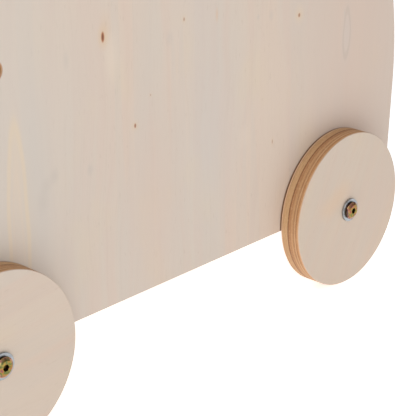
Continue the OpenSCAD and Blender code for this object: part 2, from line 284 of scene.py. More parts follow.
def veneer_colour(n, u, v, layer):
    """Pale rotary-cut birch: cool and warm bands, crisp grey strips, a few clouds, and faint lines, fibres
    and flecks along the grain. Also returns the lines and fibres, for the relief."""
    wander = n.noise(n.vector(n.times(u, 16), n.times(v, 7), layer))
    shifted = n.math("ADD", u, n.times(n.math("SUBTRACT", wander, 0.5), 0.03))
    bands = n.noise(n.vector(n.times(shifted, 17), n.times(v, 2.0), 0.3), detail=2)
    narrow = n.noise(n.vector(n.times(shifted, 90), n.times(v, 4.0), 2.3), detail=2)
    clouds = n.noise(n.vector(n.times(u, 26), n.times(v, 14), 4.0), detail=3)
    lines = n.noise(n.vector(n.times(shifted, 620), n.times(v, 9), 0.7), detail=3)
    fibres = n.noise(n.vector(n.times(u, 2600), n.times(v, 60), 1.7), detail=2)
    strips = n.noise(n.vector(n.times(u, 80), n.times(v, 2.5), 8.4), detail=1)
    flecks = n.noise(n.vector(n.times(u, 620), n.times(v, 130), 5.2), detail=1)
    colour = n.mix(n.step(bands, 0.40, 0.60), srgb(*COOL_BIRCH), srgb(*WARM_BIRCH))
    colour = n.mix(n.times(n.step(narrow, 0.46, 0.66), 0.45), colour, srgb(*PINK_BIRCH))
    colour = n.mix(n.times(n.step(clouds, 0.50, 0.72), 0.55), colour, srgb(*YELLOW_BIRCH))
    colour = n.mix(n.times(n.step(lines, 0.52, 0.74), 0.11), colour, srgb(196, 176, 158))
    colour = n.mix(n.times(n.step(fibres, 0.50, 0.75), 0.10), colour, srgb(190, 168, 148))
    colour = n.mix(n.times(n.step(strips, 0.53, 0.555), 0.28), colour, srgb(*GREY_BIRCH))
    colour = n.mix(n.times(n.step(flecks, 0.66, 0.76), 0.18), colour, srgb(188, 168, 150))
    return colour, lines, fibres


def add_knots(n, colour, u, v, knots):
    """Each knot is (across, along, half width, half length, strength), with sizes in millimetres."""
    for across, along, half_u, half_v, strength in knots:
        halo = spot(n, u, v, (across, along, half_u * 2.6, half_v * 1.9), 0.7)
        rim = spot(n, u, v, (across, along, half_u, half_v), 0.3)
        heart = spot(n, u, v, (across, along, half_u * 0.55, half_v * 0.7), 0.5)
        colour = n.mix(n.times(halo, 0.40 * strength), colour, srgb(218, 190, 154))
        colour = n.mix(n.times(rim, 0.85 * strength), colour, srgb(184, 118, 74))
        colour = n.mix(n.times(heart, 0.85 * strength), colour, srgb(116, 74, 58))
    return colour


def add_stains(n, colour, u, v, stains):
    """Each stain is (across, along, half width, half length, colour, share), in millimetres."""
    for across, along, half_u, half_v, tint, share in stains:
        mask = spot(n, u, v, (across, along, half_u, half_v), 0.9)
        colour = n.mix(n.times(mask, share), colour, srgb(*tint))
    return colour


def add_arches(n, colour, u, v, arches):
    """Grain lines that close in a slim arch. Each is (across, along, half width, half length, line width,
    colour, share), in millimetres."""
    wander = n.noise(n.vector(n.times(u, 40), n.times(v, 22), 6.1))
    wavy = n.math("ADD", u, n.times(n.math("SUBTRACT", wander, 0.5), 3 * MM))
    for across, along, half_u, half_v, line, tint, share in arches:
        outer = spot(n, wavy, v, (across, along, half_u, half_v), 0.08)
        inner = spot(n, wavy, v, (across, along, half_u - line, half_v - 4 * line), 0.12)
        ring = n.math("SUBTRACT", outer, inner, clamp=True)
        colour = n.mix(n.times(ring, share), colour, srgb(*tint))
    return colour


def ply_edge_colour(n, u, v, w, edge_u, edge_v, thickness, plies):
    """The plies across a cut edge. Their grain turns by 90 degrees, so every other one shows its ends."""
    waver = n.noise(n.vector(n.times(u, 26), n.times(v, 26), 2.0))
    depth = n.math("ADD", w, n.times(n.math("SUBTRACT", waver, 0.5), 0.9 * MM))
    share = n.math("DIVIDE", depth, thickness)
    soft, start, tones, turns = 0.012, 0, [], []
    for i, (end, tone) in enumerate(plies):
        for place in (start + soft, end - soft):
            tones.append((place, srgb(*tone)))
            turns.append((place, (i % 2, i % 2, i % 2, 1)))
        start = end
    colour, crossed = n.ramp(share, tones), n.ramp(share, turns)
    endwise = n.math("ADD", n.times(edge_v, n.math("SUBTRACT", 1, crossed)), n.times(edge_u, crossed))
    colour = n.mix(n.times(n.step(endwise, 0.3, 0.9), 0.25), colour, srgb(176, 124, 82))
    streaks = n.noise(n.vector(n.times(u, 130), n.times(v, 130), n.times(w, 2600)), detail=3)
    dashes = n.noise(n.vector(n.times(u, 420), n.times(v, 420), n.times(w, 2200)), detail=2)
    pores = n.noise(n.vector(*[n.times(c, 1500) for c in (u, v, w)]), detail=2)
    colour = n.mix(n.times(n.step(streaks, 0.5, 0.68), 0.45), colour, srgb(162, 114, 74))
    colour = n.mix(n.times(n.step(dashes, 0.56, 0.68), 0.35), colour, srgb(228, 196, 154))
    colour = n.mix(n.times(n.step(pores, 0.54, 0.68), 0.20), colour, srgb(222, 190, 148))
    glue = 0.0
    for end, _ in plies[:-1]:
        line = n.step(n.math("ABSOLUTE", n.math("SUBTRACT", share, end)), 0.016, 0.003)
        glue = n.math("MAXIMUM", line, glue)
    deep = n.step(n.noise(n.vector(n.times(u, 14), n.times(v, 14), n.times(w, 320))), 0.45, 0.6)
    colour = n.mix(n.times(glue, n.math("MULTIPLY_ADD", deep, 0.40, 0.12)), colour, srgb(118, 78, 50))
    return colour, glue, streaks


def add_gap_shade(n, colour, u, v, w):
    """Painted shade on a side panel's outer face: a dark disc behind each wheel, which only shows in the narrow
    gap.
    """
    half_wheelbase = (AXLE_X["rear"] - MID_X) / MM
    reach = AXLE_Z / MM - 0.3
    outside = n.step(w, 2 * MM, 1 * MM)
    for across in (-half_wheelbase, half_wheelbase):
        mask = spot(n, u, v, (across, AXLE_Z / MM, reach, reach), 0.012)
        # painted shade of the narrow gap between wheel and panel
        colour = n.mix(n.times(n.times(mask, outside), 0.9), colour, srgb(150, 104, 68))
    return colour


def plywood(name, knots=(), stains=(), arches=(), plies=BOARD_PLIES, gap_shaded=False):
    """Birch plywood in the round. ply_place holds the place across the grain, along it and into the board,
    and ply_edge which way an edge faces and how thick the board is."""
    n = Nodes(name)
    u, v, w = n.attribute("ply_place")
    edge_u, edge_v, thickness = n.attribute("ply_edge")
    from_face = n.math("MINIMUM", w, n.math("SUBTRACT", thickness, w))
    face, lines, fibres = veneer_colour(n, u, v, n.times(n.step(w, 5 * MM, 10 * MM), 3))
    face = add_arches(n, add_stains(n, face, u, v, stains), u, v, arches)
    face = add_knots(n, face, u, v, knots)
    # painted shade in the gap behind each wheel
    if gap_shaded:
        face = add_gap_shade(n, face, u, v, w)
    edge, glue, streaks = ply_edge_colour(n, u, v, w, edge_u, edge_v, thickness, plies)
    cut = n.step(from_face, 0.05 * MM, 0.55 * MM)
    skin = n.mix(n.times(cut, 0.85), face, srgb(214, 170, 132))
    core = n.step(from_face, FACE_PLY - 0.1 * MM, FACE_PLY + 0.05 * MM)
    colour = n.mix(core, skin, edge)
    relief = n.math("ADD", n.times(lines, 0.4), n.times(fibres, 0.6))
    edge_relief = n.math("SUBTRACT", n.times(streaks, 0.8), n.times(glue, 0.8))
    height = n.math("ADD", relief, n.times(core, n.math("SUBTRACT", edge_relief, relief)))
    rough = n.math("MULTIPLY_ADD", lines, 0.16, 0.50)
    return n.finish(
        Base_Color=colour, Roughness=rough, Normal=n.bump(height, 0.05 * MM, 0.4), Specular_IOR_Level=0.25,
    )


# ---------------------------------------------------------------- other materials


def beech():
    n = Nodes("beech")
    grain = n.noise(n.place((420, 14, 420)), detail=4, distortion=0.4)
    flecks = n.noise(n.place((1500, 160, 1500)))
    colour = n.mix(n.step(grain, 0.35, 0.68), srgb(206, 172, 134), srgb(190, 150, 110))
    colour = n.mix(n.times(n.step(flecks, 0.6, 0.7), 0.55), colour, srgb(152, 106, 72))
    rough = n.math("MULTIPLY_ADD", grain, 0.15, 0.42)
    return n.finish(Base_Color=colour, Roughness=rough, Normal=n.bump(flecks, 0.05 * MM, 0.4))


def yellow_zinc():
    """Yellow passivated zinc, greener towards the front. metal_tone's first channel is painted shade in hollows
    and a painted dark reflection on bolt heads' sides, its second a rosy tint with a painted highlight on the
    bevel."""
    n = Nodes("yellow_zinc")
    painted_shade, bevel, _ = n.attribute("metal_tone")
    forward = n.step(n.split(n.place(1))[0], 0.05, -0.05)
    drift = n.math("SUBTRACT", n.noise(n.place(300), detail=2, distortion=0.8), n.times(forward, 0.07))
    patches = n.noise(n.place(560), detail=2)
    sheen = n.noise(n.place(240), detail=1)
    grit = n.noise(n.place(5200), detail=3)
    colour = n.ramp(drift, [
        (0.36, srgb(110, 118, 72)), (0.43, srgb(146, 134, 68)), (0.50, srgb(170, 132, 72)),
        (0.57, srgb(178, 112, 72)), (0.66, srgb(132, 86, 96)),
    ])
    colour = n.mix(n.times(n.step(patches, 0.54, 0.68), 0.4), colour, srgb(196, 164, 88))
    # the bevel's colour: rosy zinc tint with a painted highlight
    rosy_tint_and_highlight = n.ramp(sheen, [
        (0.40, srgb(92, 56, 78)), (0.48, srgb(190, 118, 108)),
        (0.54, srgb(240, 172, 156)), (0.62, srgb(222, 180, 120)),
    ])
    colour = n.mix(n.times(bevel, 0.9), colour, rosy_tint_and_highlight)
    # painted shade in hollows and painted dark reflection on bolt heads' sides
    colour = n.mix(n.times(painted_shade, 0.9), colour, srgb(72, 52, 36))
    rough = n.math("MULTIPLY_ADD", grit, 0.16, 0.22)
    return n.finish(Base_Color=colour, Metallic=1.0, Roughness=rough, Normal=n.bump(grit, 0.02 * MM, 0.5))


def grey_metal(name, light, dark, gloss):
    n = Nodes(name)
    cloud = n.noise(n.place(240), detail=3)
    grit = n.noise(n.place(4200), detail=3)
    colour = n.mix(n.step(cloud, 0.35, 0.65), light, dark)
    rough = n.math("MULTIPLY_ADD", grit, 0.2, gloss)
    return n.finish(Base_Color=colour, Metallic=1.0, Roughness=rough, Normal=n.bump(grit, 0.02 * MM, 0.6))


def nylon():
    n = Nodes("nylon")
    cloud = n.noise(n.place(300))
    colour = n.mix(n.step(cloud, 0.3, 0.7), srgb(222, 221, 212), srgb(210, 208, 196))
    rough = n.math("MULTIPLY_ADD", cloud, 0.1, 0.42)
    return n.finish(Base_Color=colour, Roughness=rough, Normal=n.bump(cloud, 0.02 * MM, 0.3))


def floor_material():
    n = Nodes("floor")
    speckle = n.noise(n.place(3))
    colour = n.mix(speckle, (0.93, 0.93, 0.93, 1), (0.95, 0.95, 0.95, 1))
    return n.finish(
        Base_Color=colour, Roughness=0.8, Specular_IOR_Level=0.2,
        Emission_Color=(1.0, 1.0, 1.0, 1.0), Emission_Strength=0.64,
    )


# ---------------------------------------------------------------- mesh helpers


class Basis:
    """A flat board's own directions: a and b lie in its face, and depth runs into it."""

    def __init__(self, origin, a, b, depth):
        self.origin = Vector(origin)
        self.a, self.b, self.depth = a.normalized(), b.normalized(), depth.normalized()

    def at(self, a, b, depth):
        return self.origin + self.a * a + self.b * b + self.depth * depth


def arc(centre, radius, start, end, steps):
    """Points of an arc, in degrees, from start to end, both included."""
    turns = [math.radians(start + (end - start) * i / steps) for i in range(steps + 1)]
    return [(centre[0] + radius * math.cos(t), centre[1] + radius * math.sin(t)) for t in turns]


def hole(centre, radius, steps=64):
    """A round hole's loop, which runs clockwise."""
    return arc(centre, radius, 360, 0, steps)[:-1]


def tidy_loop(points, closest=0.02 * MM):
    """Drops points that fall on the one before."""
    kept = []
    for p in points:
        if not kept or math.dist(p, kept[-1]) > closest:
            kept.append(p)
    if math.dist(kept[0], kept[-1]) <= closest:
        kept.pop()
    return kept


def inset(loop, distance):
    """Moves a closed loop to its left, where the wood is, by that distance."""
    moved = []
    for i, (x, y) in enumerate(loop):
        before, after = loop[i - 1], loop[(i + 1) % len(loop)]
        first = Vector((before[1] - y, x - before[0])).normalized()
        second = Vector((y - after[1], after[0] - x)).normalized()
        shift = (first + second) * (distance / max(1 + first.dot(second), 0.35))
        moved.append((x + shift.x, y + shift.y))
    return moved


def board(name, outline, holes, basis, thickness, arris, steps=4):
    """A board with rounded arrises. outline runs anticlockwise in (a, b), and each hole clockwise."""
    bm = bmesh.new()
    turns = [math.radians(90 * i / steps) for i in range(steps + 1)]
    profile = [(arris * (1 - math.sin(t)), arris * (1 - math.cos(t))) for t in turns]
    profile += [(p, thickness - d) for p, d in reversed(profile)]
    first_rim, last_rim = [], []
    for loop in [outline] + list(holes):
        rings = []
        for shift, depth in profile:
            rings.append([bm.verts.new(basis.at(a, b, depth)) for a, b in inset(loop, shift)])
        for low, high in zip(rings, rings[1:]):
            for i in range(len(low)):
                j = (i + 1) % len(low)
                bm.faces.new((low[i], low[j], high[j], high[i]))
        for ring, rim in ((rings[0], first_rim), (rings[-1], last_rim)):
            for i in range(len(ring)):
                rim.append(bm.edges.get((ring[i], ring[(i + 1) % len(ring)])))
    for rim in (first_rim, last_rim):
        bmesh.ops.triangle_fill(bm, use_beauty=True, use_dissolve=False, edges=rim)
    bmesh.ops.recalc_face_normals(bm, faces=bm.faces)
    return link_mesh(name, bm)


def soften(points, radius, steps=3, closed=False):
    """Rounds each corner of a profile of (radius, height) points."""
    rounded = []
    for i, corner in enumerate(points):
        corner = Vector(corner)
        if not closed and i in (0, len(points) - 1):
            rounded.append(tuple(corner))
            continue
        ends = []
        for other in (points[i - 1], points[(i + 1) % len(points)]):
            arm = Vector(other) - corner
            ends.append(corner + arm * min(radius / arm.length, 0.45))
        for k in range(steps + 1):
            t = k / steps
            rounded.append(tuple(ends[0] * (1 - t) ** 2 + corner * 2 * t * (1 - t) + ends[1] * t ** 2))
    return rounded


def turned(name, rings, centre, axis, segments=96, closed=False):
    """A body made of rings round an axis. A ring is (radius or a function of the angle, height)."""
    bm = bmesh.new()
    turn = axis.to_track_quat("Z", "Y")
    made = []
    for radius, height in rings:
        ring = []
        for i in range(segments):
            phi = 2 * math.pi * i / segments
            r = radius(phi) if callable(radius) else radius
            spoke = Vector((r * math.cos(phi), r * math.sin(phi), height))
            ring.append(bm.verts.new(centre + turn @ spoke))
        made.append(ring)
    pairs = list(zip(made, made[1:])) + ([(made[-1], made[0])] if closed else [])
    for low, high in pairs:
        for i in range(segments):
            j = (i + 1) % segments
            bm.faces.new((low[i], low[j], high[j], high[i]))
    if not closed:
        bm.faces.new(reversed(made[0]))
        bm.faces.new(made[-1])
    bmesh.ops.recalc_face_normals(bm, faces=bm.faces)
    return link_mesh(name, bm)


def smooth(thing, angle=33):
    """Smooth shading that stays crisp at corners and flat on flat faces."""
    for polygon in thing.data.polygons:
        polygon.use_smooth = True
    thing.data.set_sharp_from_angle(angle=math.radians(angle))
    normals = thing.modifiers.new("flat_faces", "WEIGHTED_NORMAL")
    normals.keep_sharp = True


def write_grain(thing, basis, thickness, turn=0.0, shift=(0.0, 0.0)):
    """Stores where each vertex lies in the plywood: across the grain, along it, and its depth."""
    c, s = math.cos(math.radians(turn)), math.sin(math.radians(turn))
    across, along = basis.a * c + basis.b * s, basis.b * c - basis.a * s
    place = thing.data.attributes.new("ply_place", "FLOAT_VECTOR", "POINT")
    edge = thing.data.attributes.new("ply_edge", "FLOAT_VECTOR", "POINT")
    for i, vertex in enumerate(thing.data.vertices):
        arm = vertex.co - basis.origin
        grain_place = (arm.dot(across) + shift[0], arm.dot(along) + shift[1], arm.dot(basis.depth))
        place.data[i].vector = grain_place
        normal = vertex.normal
        edge.data[i].vector = (abs(normal.dot(across)), abs(normal.dot(along)), thickness)


def settle(piece, nodes, material):
    """The last step for every new piece: its material, body, slot and the nodes it stands for."""
    nodes = [nodes] if isinstance(nodes, str) else nodes
    piece.data.materials.clear()
    piece.data.materials.append(material)
    smooth(piece)
    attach(piece, BODY_OF[nodes[0]])
    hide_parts(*nodes)


def join(name, things):
    """One object from several, for fasteners that share a node."""
    bm = bmesh.new()
    for thing in things:
        bm.from_mesh(thing.data)
        bpy.data.objects.remove(thing)
    return link_mesh(name, bm)


def drill(thing, centre, axis, rings):
    """Cuts a blind hole. Each ring is (radius, depth), from just outside the face inwards."""
    cutter = turned("cutter", [(r, -d) for r, d in rings], centre, axis, segments=64)
    cut = thing.modifiers.new("cut", "BOOLEAN")
    cut.operation, cut.solver, cut.object = "DIFFERENCE", "EXACT", cutter
    bpy.context.view_layer.update()
    evaluated = thing.evaluated_get(bpy.context.evaluated_depsgraph_get())
    result = bpy.data.meshes.new_from_object(evaluated)
    thing.modifiers.remove(cut)
    thing.data = result
    bpy.data.objects.remove(cutter)


# ---------------------------------------------------------------- side panels

EDGE_DROP = 5 * MM
SIDE_BOTTOM_L = 488 * MM
END_LEAN = 2.9
BOW_START_Z = 141 * MM
BOW_R = 312 * MM
TOP_CORNER_R = 77 * MM
TOE_R = 12 * MM
EAR_R = 15 * MM
EAR_FILLET_R = 10 * MM
ROPE_HOLE, ROPE_HOLE_R = (-151 * MM, 238 * MM), 7 * MM
ARRIS = 0.5 * MM
SIDE_TOP_Z = SIDE_HIGH.z
BOTTOM_Z = AXLE_Z - EDGE_DROP


def ear(axle_x):
    """The rounded ear under an axle, from left to right along the bottom edge."""
    reach = EAR_R + EAR_FILLET_R
    fillet_z = BOTTOM_Z - EAR_FILLET_R
    fillet_x = math.sqrt(reach ** 2 - (AXLE_Z - fillet_z) ** 2)
    lean = math.degrees(math.atan2(AXLE_Z - fillet_z, fillet_x))
    return (
        arc((axle_x - fillet_x, fillet_z), EAR_FILLET_R, 90, lean, 8)
        + arc((axle_x, AXLE_Z), EAR_R, 180 + lean, 360 - lean, 24)
        + arc((axle_x + fillet_x, fillet_z), EAR_FILLET_R, 180 - lean, 90, 8)
    )


def side_outline():
    """The side panel's outline in (x, z), with x from its middle."""
    lean = math.radians(END_LEAN)
    bow_start_x = SIDE_BOTTOM_L / 2 + math.tan(lean) * (BOW_START_Z - BOTTOM_Z)
    bow = Vector((bow_start_x - BOW_R * math.cos(lean), BOW_START_Z + BOW_R * math.sin(lean)))
    corner_z = SIDE_TOP_Z - TOP_CORNER_R
    corner_x = bow.x + math.sqrt((BOW_R - TOP_CORNER_R) ** 2 - (corner_z - bow.y) ** 2)
    rise = math.degrees(math.atan2(corner_z - bow.y, corner_x - bow.x))
    toe_z = BOTTOM_Z + TOE_R
    toe_x = SIDE_BOTTOM_L / 2 + math.tan(lean) * TOE_R - TOE_R / math.cos(lean)
    right_end = (
        arc((toe_x, toe_z), TOE_R, -90, -END_LEAN, 12)
        + arc(bow, BOW_R, -END_LEAN, rise, 36)
        + arc((corner_x, corner_z), TOP_CORNER_R, rise, 90, 32)
    )
    left_end = [(-x, z) for x, z in reversed(right_end)]
    half_wheelbase = AXLE_X["rear"] - MID_X
    outline = ear(-half_wheelbase) + ear(half_wheelbase) + right_end + left_end
    return tidy_loop(outline)


GREY, BLUE_GREY, PALE = (199, 188, 178), (208, 199, 192), (224, 208, 190)
ORANGE, YELLOW, PINK = (218, 178, 140), (221, 201, 179), (215, 191, 177)

PANEL_KNOTS = {
    "left": [
        (-64.0, 241.5, 1.4, 3.4, 1.0), (-37.5, 177.0, 1.0, 1.6, 0.7), (9.0, 239.0, 0.8, 1.4, 0.45),
        (128.5, 219.5, 1.3, 1.6, 0.6), (101.0, 130.5, 0.5, 1.8, 0.45), (-23.0, 194.5, 0.6, 0.8, 0.3),
    ],
    "right": [(88.0, 196.0, 1.6, 2.8, 0.9), (-120.0, 132.0, 1.2, 1.8, 0.7), (10.0, 268.0, 0.9, 1.4, 0.5)],
}

PANEL_STAINS = {
    "left": [
        (-149.0, 170.5, 62.0, 190.0, (208, 199, 189), 0.65),
        (-122.0, 150.0, 12.0, 60.0, (202, 196, 189), 0.40),
        (203.0, 221.0, 70.0, 220.0, (211, 190, 176), 0.70),
        (-57.0, 228.0, 5.0, 14.0, PALE, 0.50), (-62.0, 246.5, 3.6, 8.5, ORANGE, 0.20),
        (129.0, 220.5, 4.0, 6.0, YELLOW, 0.5), (41.0, 236.0, 1.0, 4.0, ORANGE, 0.45),
        (83.5, 226.5, 1.0, 1.6, GREY, 0.5), (182.0, 211.5, 0.5, 2.4, GREY, 0.6),
        (-78.0, 157.5, 2.2, 3.4, GREY, 0.5), (-108.0, 161.5, 3.0, 4.0, GREY, 0.5),
        (-115.0, 157.0, 3.5, 4.5, GREY, 0.4), (-118.0, 147.0, 4.0, 6.0, GREY, 0.4),
        (-5.0, 229.0, 2.5, 4.0, GREY, 0.35), (-95.0, 233.0, 2.0, 5.0, GREY, 0.35),
        (97.5, 225.0, 2.0, 3.0, GREY, 0.35), (185.5, 195.0, 5.0, 19.0, (206, 196, 188), 0.45),
        (70.5, 142.5, 5.0, 7.0, PALE, 0.3), (-137.5, 180.0, 4.0, 24.0, YELLOW, 0.4),
        (-135.5, 140.5, 9.0, 34.0, YELLOW, 0.28), (37.0, 151.0, 26.0, 52.0, BLUE_GREY, 0.4),
        (19.5, 250.0, 22.0, 40.0, BLUE_GREY, 0.3), (-20.5, 121.0, 18.0, 60.0, PINK, 0.4),
    ],
    "right": [(-60.0, 180.0, 46.0, 130.0, BLUE_GREY, 0.4), (150.0, 150.0, 50.0, 150.0, PINK, 0.4)],
}

PANEL_ARCHES = {
    "left": [
        (-138.0, 130.0, 9.0, 76.0, 2.8, (224, 203, 172), 0.40),
        (-138.5, 112.0, 4.6, 60.0, 1.6, YELLOW, 0.20),
        (185.5, 195.0, 5.0, 21.0, 1.6, (194, 177, 162), 0.36),
    ],
    "right": [(-30.0, 120.0, 12.0, 90.0, 2.0, YELLOW, 0.4), (-29.0, 104.0, 6.0, 74.0, 1.6, YELLOW, 0.3)],
}


def make_side_panel(side):
    node = "side_panel_" + side
    low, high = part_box(node)
    outer_y = low.y if side == "left" else high.y
    basis = Basis((MID_X, outer_y, 0), X, Z, -Y * SIDES[side])
    panel = board(node + "_skin", side_outline(), [hole(ROPE_HOLE, ROPE_HOLE_R)], basis, BOARD_T, ARRIS)
    write_grain(panel, basis, BOARD_T)
    # the last argument paints shade in the gap behind each wheel
    birch = plywood(
        "birch_side_" + side, PANEL_KNOTS[side], PANEL_STAINS[side], PANEL_ARCHES[side], gap_shaded=True,
    )
    settle(panel, node, birch)


# ---------------------------------------------------------------- end boards and floor

CAM_R, CAM_H = 7.4 * MM, 12.3 * MM
CAM_POCKET = [(CAM_R + 0.05 * MM, -1 * MM), (CAM_R + 0.05 * MM, CAM_H + 0.2 * MM)]
CAM_Y = SIDE_IN - 24 * MM
END_CAM_Z = (112 * MM, 226 * MM)
FLOOR_CAM_X = (MID_X - 115 * MM, MID_X + 115 * MM)
SCREW_R, SCREW_HEAD_R, SCREW_HEAD_H = 2 * MM, 4 * MM, 2.2 * MM
LUG_SCREW_RISE, LUG_SCREW_L, GRIP_SCREW_L = 14 * MM, 40 * MM, 30 * MM
COUNTERSINK = [(SCREW_HEAD_R, -1 * MM), (SCREW_HEAD_R, 0.0), (SCREW_R, SCREW_HEAD_H)]


def rectangle(half_a, low_b, high_b):
    return [(-half_a, low_b), (half_a, low_b), (half_a, high_b), (-half_a, high_b)]


def end_cam_places(end):
    inner_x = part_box(end + "_panel")[1 if end == "front" else 0].x
    return [Vector((inner_x, sign * CAM_Y, z)) for sign in SIDES.values() for z in END_CAM_Z]


def lug_screw_places():
    inner_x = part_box("front_panel")[1].x
    heights = (HINGE.z - LUG_SCREW_RISE, HINGE.z + LUG_SCREW_RISE)
    return [Vector((inner_x, middle("hitch_lug_" + side).y, z)) for side in SIDES for z in heights]


def make_end_panel(end):
    node = end + "_panel"
    low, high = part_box(node)
    outwards = X * ENDS[end]
    outer_x = low.x if end == "front" else high.x
    basis = Basis((outer_x, 0, 0), Y, Z, -outwards)
    panel = board(node + "_skin", rectangle(SIDE_IN, low.z, high.z), [], basis, BOARD_T, ARRIS)
    for place in end_cam_places(end):
        drill(panel, place, -outwards, CAM_POCKET)
    if end == "front":
        for place in lug_screw_places():
            drill(panel, place, -outwards, COUNTERSINK + [(SCREW_R, BOARD_T + 1 * MM)])
    write_grain(panel, basis, BOARD_T, shift=(0.9 + 0.5 * ENDS[end], 1.3))
    settle(panel, node, PLAIN_PLY)


def floor_cam_places():
    underside_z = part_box("floor_panel")[0].z
    return [Vector((x, sign * CAM_Y, underside_z)) for sign in SIDES.values() for x in FLOOR_CAM_X]


def make_floor_panel():
    low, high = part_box("floor_panel")
    basis = Basis((MID_X, 0, high.z), Y, X, -Z)
    half_l = (high.x - low.x) / 2
    panel = board("floor_panel_skin", rectangle(SIDE_IN, -half_l, half_l), [], basis, BOARD_T, ARRIS)
    for place in floor_cam_places():
        drill(panel, place, -Z, CAM_POCKET)
    write_grain(panel, basis, BOARD_T, shift=(2.4, 0.6))
    settle(panel, "floor_panel", PLAIN_PLY)


# ---------------------------------------------------------------- wheels

BOLT_R, BORE_SLACK = 3 * MM, 0.06 * MM
WHEEL_TURN = {"front_left": 97, "rear_left": -25, "front_right": 40, "rear_right": -70}
WHEEL_SHIFT = {
    "front_left": (0.31, 0.14), "rear_left": (0, 0), "front_right": (0.63, 0.4), "rear_right": (0.9, 1.1),
}
WHEEL_STAINS = [
    (0.0, 0.0, 400.0, 400.0, (204, 178, 152), 0.28),
    (-28.3, -5.5, 8.0, 7.0, (220, 190, 161), 0.38), (-21.4, 3.3, 8.0, 8.0, (220, 190, 161), 0.42),
    (-14.4, 12.0, 7.0, 8.0, (220, 190, 161), 0.38), (34.0, 18.0, 16.0, 26.0, (211, 190, 175), 0.5),
]


def make_wheel(end, side):
    node = f"wheel_{end}_{side}"
    low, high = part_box(node)
    outer_y = low.y if side == "left" else high.y
    centre = spin_centre(node + "_spin")
    basis = Basis((centre.x, outer_y, centre.z), X, Z, -Y * SIDES[side])
    rim = arc((0, 0), AXLE_Z, 0, 360, 216)[:-1]
    wheel = board(node + "_skin", rim, [hole((0, 0), BOLT_R + BORE_SLACK)], basis, high.y - low.y, ARRIS)
    key = f"{end}_{side}"
    write_grain(wheel, basis, high.y - low.y, turn=WHEEL_TURN[key], shift=WHEEL_SHIFT[key])
    settle(wheel, node, WHEEL_PLY)


# ---------------------------------------------------------------- fasteners

AXLE_BOLT_L, HITCH_BOLT_L = 45 * MM, 65 * MM
HEAD_R, HEAD_FLAT_R, HEAD_RIM_H, HEAD_H = 6.8 * MM, 4.6 * MM, 1.4 * MM, 3 * MM
SOCKET_AF, SOCKET_DEPTH = 4 * MM, 2.6 * MM
WASHER_R, WASHER_HOLE_R = 9 * MM, BOLT_R + 0.25 * MM
NUT_AF, NUT_H, NUT_HEX_H = 10 * MM, 6 * MM, 4.5 * MM
NUT_COLLAR_R, NUT_MOUTH_R, NUT_MOUTH_H = 4.4 * MM, 3.7 * MM, 0.8 * MM


def hexagon(across_flats, grow=1.0):
    """The radius of a hexagon at each angle."""
    sixth = math.pi / 3
    return lambda phi: grow * across_flats / 2 / math.cos(phi % sixth - sixth / 2)


def cross(half_span, grow=1.0):
    """The radius of a cross at each angle. Its corners fall on the rings' own steps."""
    def radius(phi):
        lean = (phi + math.pi / 4) % (math.pi / 2) - math.pi / 4
        half_slot = half_span * math.tan(math.radians(11.25))
        return grow * min(half_span / math.cos(lean), half_slot / max(abs(math.sin(lean)), 1e-6))
    return radius


def thread(radius, depth, pitch, start, stop, per_turn=6):
    """Rings of a helical thread between two heights."""
    count = round((stop - start) / pitch * per_turn)

    def ring(height):
        return lambda phi: radius - depth * abs(2 * ((height / pitch - phi / (2 * math.pi)) % 1) - 1)

    heights = [start + (stop - start) * i / count for i in range(count + 1)]
    return [(ring(height), height) for height in heights]


def tone_of_head(radius, height):
    """Painted dark reflection on the head's side, painted shade in its socket, and a rosy tint with a painted
    highlight on its bevel.
    """
    if height < 0:
        return (0.0, 0.0, 0.0)
    # the head's side: painted dark reflection
    if radius > HEAD_R - 0.3 * MM and height < HEAD_RIM_H:
        return (1.0, 0.0, 0.0)
    # the socket: painted shade
    if radius < SOCKET_AF * 0.62 and height < HEAD_H - 0.1 * MM:
        return (1.0, 0.0, 0.0)
    # the bevel: rosy zinc tint with a painted highlight
    if radius > HEAD_FLAT_R + 0.2 * MM and height > HEAD_RIM_H:
        return (0.0, 1.0, 0.0)
    return (0.0, 0.0, 0.0)


def write_tone(thing, centre, axis, rule):
    tone = thing.data.attributes.new("metal_tone", "FLOAT_VECTOR", "POINT")
    for i, vertex in enumerate(thing.data.vertices):
        arm = vertex.co - centre
        height = arm.dot(axis)
        tone.data[i].vector = rule((arm - axis * height).length, height)


def make_bolt(node, seat, axis, length):
    """A flat-headed socket bolt, with the underside of its head at seat."""
    point, threaded_l = 1 * MM, 22 * MM
    head = [
        (BOLT_R, 0), (HEAD_R, 0), (HEAD_R, HEAD_RIM_H), (HEAD_FLAT_R, HEAD_H), (SOCKET_AF * 0.65, HEAD_H),
    ]
    rings = [(BOLT_R - point, -length)]
    rings += thread(BOLT_R, 0.55 * MM, 1 * MM, -length + point, -length + point + threaded_l)
    rings += soften([(BOLT_R, -length + point + threaded_l + 0.6 * MM)] + head, 0.22 * MM)
    rings += [
        (hexagon(SOCKET_AF, 1.08), HEAD_H), (hexagon(SOCKET_AF), HEAD_H - 0.25 * MM),
        (hexagon(SOCKET_AF), HEAD_H - SOCKET_DEPTH),
        (hexagon(SOCKET_AF, 0.3), HEAD_H - SOCKET_DEPTH - 0.5 * MM),
    ]
    bolt = turned(node + "_skin", rings, seat, axis)
    write_tone(bolt, seat, axis, tone_of_head)
    settle(bolt, node, MATERIALS["yellow_zinc"])


def ring_part(inner_r, outer_r, low, high, seat, axis, soft=0.3 * MM):
    corners = [(inner_r, low), (outer_r, low), (outer_r, high), (inner_r, high)]
    return turned("ring", soften(corners, soft, closed=True), seat, axis, closed=True)


def make_washers(node, thickness, seats):
    """Washers that share a node. Each seat is (place, axis), and the washer stands on it."""
    rings = [ring_part(WASHER_HOLE_R, WASHER_R, 0, thickness, place, axis) for place, axis in seats]
    settle(join(node + "_skin", rings), node, MATERIALS[SLOT_OF[node]])


